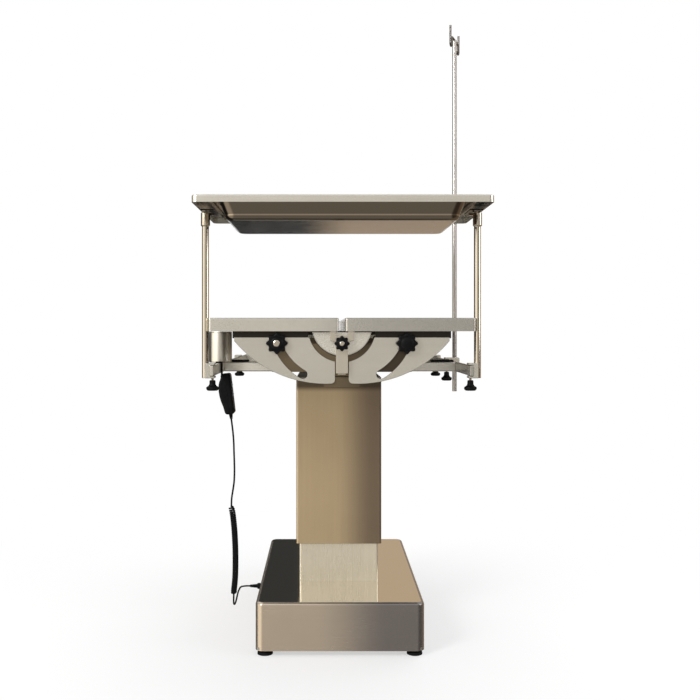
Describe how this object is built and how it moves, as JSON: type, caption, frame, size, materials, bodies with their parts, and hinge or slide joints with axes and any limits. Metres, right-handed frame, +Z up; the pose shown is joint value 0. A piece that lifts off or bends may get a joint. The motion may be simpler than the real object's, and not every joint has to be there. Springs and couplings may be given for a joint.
{
  "type": "veterinary surgery table",
  "caption": "Electric lifting surgery table for animals: two tilting top panels over a drain gutter, overhead instrument tray, IV pole and wired handset on a column and box base.",
  "frame": {"origin": "on the floor, at the middle of the whole part's box in plan, cord left out", "axes": "+Z up, -Y towards the end with the overhead tray, +X towards the side with the IV pole"},
  "size_m": [0.6706, 1.4234, 1.654],
  "materials": {
    "brushed_sheet": "brushed stainless steel",
    "polished_steel": "polished stainless steel",
    "raw_steel": "plain rolled steel",
    "black_plastic": "moulded, satin",
    "grey_plastic": "moulded, satin",
    "black_rubber": "matt",
    "white_nylon": "machined nylon",
    "grey_paint": "satin paint"
  },
  "bodies": {
    "base": {"base_cover": "brushed_sheet", "base_plate": "raw_steel", "foot_front_left": "black_rubber", "foot_front_right": "black_rubber", "foot_rear_left": "black_rubber", "foot_rear_right": "black_rubber", "inner_column": "polished_steel", "upper_wear_ring": "white_nylon", "lift_actuator": "grey_paint", "control_box": "grey_paint", "mains_inlet": "black_plastic", "cord_gland": "black_rubber", "cord_curl": "black_rubber", "cord_tail": "black_rubber"},
    "lift": {"outer_sleeve": "brushed_sheet", "lower_wear_ring": "white_nylon", "actuator_rod": "polished_steel", "column_top_plate": "raw_steel", "spine_beam": "brushed_sheet", "front_crossbar": "brushed_sheet", "rear_crossbar": "brushed_sheet", "left_rail": "brushed_sheet", "right_rail": "brushed_sheet", "front_end_bracket": "brushed_sheet", "rear_end_bracket": "brushed_sheet", "left_hinge_rod": "polished_steel", "right_hinge_rod": "polished_steel", "drain_gutter": "brushed_sheet", "handset_holder": "brushed_sheet", "handset": "black_plastic", "cord_lead": "black_rubber"},
    "left_top": {"left_panel": "brushed_sheet", "left_front_quadrant": "brushed_sheet", "left_rear_quadrant": "brushed_sheet"},
    "right_top": {"right_panel": "brushed_sheet", "right_front_quadrant": "brushed_sheet", "right_rear_quadrant": "brushed_sheet"},
    "left_front_knob": {"left_front_star_knob": "black_plastic"},
    "left_rear_knob": {"left_rear_star_knob": "black_plastic"},
    "right_front_knob": {"right_front_star_knob": "black_plastic"},
    "right_rear_knob": {"right_rear_star_knob": "black_plastic"},
    "gutter_knob": {"gutter_star_knob": "black_plastic"},
    "tray_carriage": {"left_post_clamp": "brushed_sheet", "right_post_clamp": "brushed_sheet", "left_post": "polished_steel", "right_post": "polished_steel", "tray_frame": "brushed_sheet", "instrument_tray": "polished_steel"},
    "left_post_knob": {"left_post_thumb_knob": "black_plastic"},
    "right_post_knob": {"right_post_thumb_knob": "black_plastic"},
    "left_cleat": {"left_cleat_block": "brushed_sheet"},
    "left_cleat_knob": {"left_cleat_thumb_knob": "black_plastic"},
    "right_cleat": {"right_cleat_block": "brushed_sheet"},
    "right_cleat_knob": {"right_cleat_thumb_knob": "black_plastic"},
    "iv_carriage": {"iv_clamp": "brushed_sheet"},
    "iv_knob": {"iv_thumb_knob": "black_plastic"},
    "iv_mast": {"iv_pole": "polished_steel"},
    "up_button": {"handset_up_button": "grey_plastic"},
    "down_button": {"handset_down_button": "grey_plastic"}
  },
  "joints": [
    {"name": "column_lift", "type": "slide", "parent": "base", "child": "lift", "axis": [0, 0, 1], "range_m": [-0.1, 0.2], "deforming": ["cord_curl"]},
    {"name": "left_tilt", "type": "hinge", "parent": "lift", "child": "left_top", "pos_m": [-0.02539, 0.05635, 0.843], "axis": [0, 1, 0], "range_deg": [0, 40]},
    {"name": "right_tilt", "type": "hinge", "parent": "lift", "child": "right_top", "pos_m": [0.01461, 0.05635, 0.843], "axis": [0, -1, 0], "range_deg": [0, 40]},
    {"name": "left_front_lock", "type": "hinge", "parent": "lift", "child": "left_front_knob", "pos_m": [-0.15155, -0.57795, 0.79783], "axis": [0, -1, 0], "continuous": true},
    {"name": "left_rear_lock", "type": "hinge", "parent": "lift", "child": "left_rear_knob", "pos_m": [-0.15155, 0.69065, 0.79783], "axis": [0, 1, 0], "continuous": true},
    {"name": "right_front_lock", "type": "hinge", "parent": "lift", "child": "right_front_knob", "pos_m": [0.14076, -0.57795, 0.79783], "axis": [0, -1, 0], "continuous": true},
    {"name": "right_rear_lock", "type": "hinge", "parent": "lift", "child": "right_rear_knob", "pos_m": [0.14076, 0.69065, 0.79783], "axis": [0, 1, 0], "continuous": true},
    {"name": "gutter_lock", "type": "hinge", "parent": "lift", "child": "gutter_knob", "pos_m": [-0.00539, -0.58995, 0.7975], "axis": [0, -1, 0], "continuous": true},
    {"name": "tray_slide", "type": "slide", "parent": "lift", "child": "tray_carriage", "axis": [0, 1, 0], "range_m": [0, 0.1]},
    {"name": "left_post_screw", "type": "hinge", "parent": "tray_carriage", "child": "left_post_knob", "pos_m": [-0.30339, -0.52365, 0.7167], "axis": [0, 0, 1], "continuous": true},
    {"name": "right_post_screw", "type": "hinge", "parent": "tray_carriage", "child": "right_post_knob", "pos_m": [0.29261, -0.52365, 0.7167], "axis": [0, 0, 1], "continuous": true},
    {"name": "left_cleat_slide", "type": "slide", "parent": "lift", "child": "left_cleat", "axis": [0, 1, 0], "range_m": [0, 0.25]},
    {"name": "left_cleat_screw", "type": "hinge", "parent": "left_cleat", "child": "left_cleat_knob", "pos_m": [-0.30339, 0.17035, 0.7167], "axis": [0, 0, 1], "continuous": true},
    {"name": "right_cleat_slide", "type": "slide", "parent": "lift", "child": "right_cleat", "axis": [0, 1, 0], "range_m": [0, 0.25]},
    {"name": "right_cleat_screw", "type": "hinge", "parent": "right_cleat", "child": "right_cleat_knob", "pos_m": [0.29261, 0.17035, 0.7167], "axis": [0, 0, 1], "continuous": true},
    {"name": "iv_clamp_slide", "type": "slide", "parent": "lift", "child": "iv_carriage", "axis": [0, 1, 0], "range_m": [-0.05, 0.2]},
    {"name": "iv_clamp_screw", "type": "hinge", "parent": "iv_carriage", "child": "iv_knob", "pos_m": [0.29261, -0.09365, 0.7167], "axis": [0, 0, 1], "continuous": true},
    {"name": "iv_pole_height", "type": "slide", "parent": "iv_carriage", "child": "iv_mast", "axis": [0, 0, 1], "range_m": [-0.3, 0.05]},
    {"name": "up_button_press", "type": "slide", "parent": "lift", "child": "up_button", "axis": [-0.9925, 0, -0.1219], "range_m": [0, 0.0012], "stiffness_N_per_m": 800},
    {"name": "down_button_press", "type": "slide", "parent": "lift", "child": "down_button", "axis": [-0.9925, 0, -0.1219], "range_m": [0, 0.0012], "stiffness_N_per_m": 800}
  ]
}
